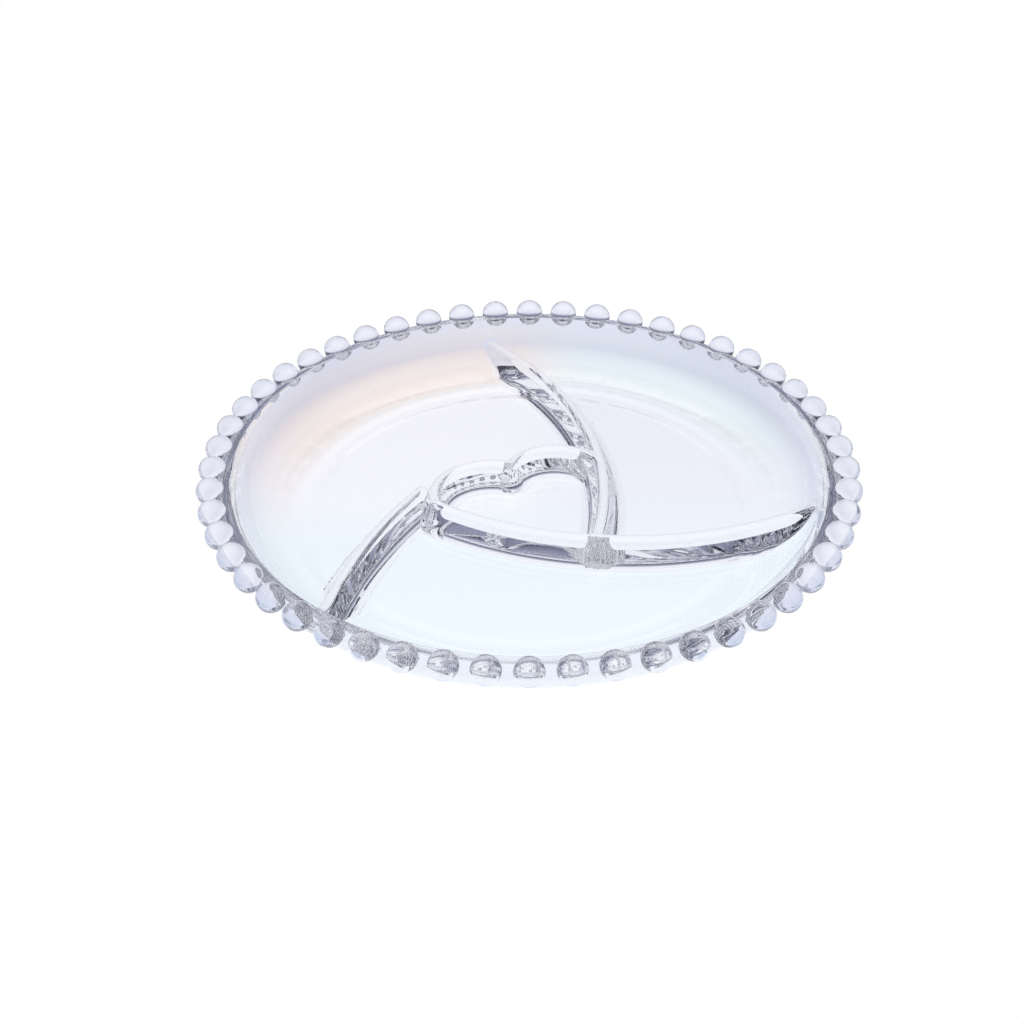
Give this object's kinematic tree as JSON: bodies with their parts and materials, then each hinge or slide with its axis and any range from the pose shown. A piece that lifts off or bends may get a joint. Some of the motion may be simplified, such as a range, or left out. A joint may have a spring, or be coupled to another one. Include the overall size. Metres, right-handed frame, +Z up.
{
  "type": "chip and dip server",
  "caption": "Round clear glass serving dish with a beaded edge, three curved dividers and a heart-shaped dip well near the middle.",
  "frame": {"origin": "centre of the dish on the table plane, under the foot ring", "axes": "+Z up; -Y towards the front compartment; +X towards the right divider"},
  "size_m": [0.3, 0.3, 0.0315],
  "materials": {
    "dish_glass": "fire-polished clear pressed glass",
    "divider_glass": "fire-polished clear pressed glass",
    "bead_glass": "fire-polished clear pressed glass"
  },
  "bodies": {
    "root": {"dish_base": "dish_glass", "cove_wall": "dish_glass", "rim_band": "dish_glass", "divider_left": "divider_glass", "divider_right": "divider_glass", "divider_back": "divider_glass", "heart_left_lobe": "divider_glass", "heart_right_lobe": "divider_glass", "bead_01": "bead_glass", "bead_02": "bead_glass", "bead_03": "bead_glass", "bead_04": "bead_glass", "bead_05": "bead_glass", "bead_06": "bead_glass", "bead_07": "bead_glass", "bead_08": "bead_glass", "bead_09": "bead_glass", "bead_10": "bead_glass", "bead_11": "bead_glass", "bead_12": "bead_glass", "bead_13": "bead_glass", "bead_14": "bead_glass", "bead_15": "bead_glass", "bead_16": "bead_glass", "bead_17": "bead_glass", "bead_18": "bead_glass", "bead_19": "bead_glass", "bead_20": "bead_glass", "bead_21": "bead_glass", "bead_22": "bead_glass", "bead_23": "bead_glass", "bead_24": "bead_glass", "bead_25": "bead_glass", "bead_26": "bead_glass", "bead_27": "bead_glass", "bead_28": "bead_glass", "bead_29": "bead_glass", "bead_30": "bead_glass", "bead_31": "bead_glass", "bead_32": "bead_glass", "bead_33": "bead_glass", "bead_34": "bead_glass", "bead_35": "bead_glass", "bead_36": "bead_glass", "bead_37": "bead_glass", "bead_38": "bead_glass", "bead_39": "bead_glass", "bead_40": "bead_glass", "bead_41": "bead_glass", "bead_42": "bead_glass", "bead_43": "bead_glass", "bead_44": "bead_glass", "bead_45": "bead_glass", "bead_46": "bead_glass", "bead_47": "bead_glass", "bead_48": "bead_glass", "bead_49": "bead_glass", "bead_50": "bead_glass", "bead_51": "bead_glass", "bead_52": "bead_glass"}
  },
  "joints": []
}
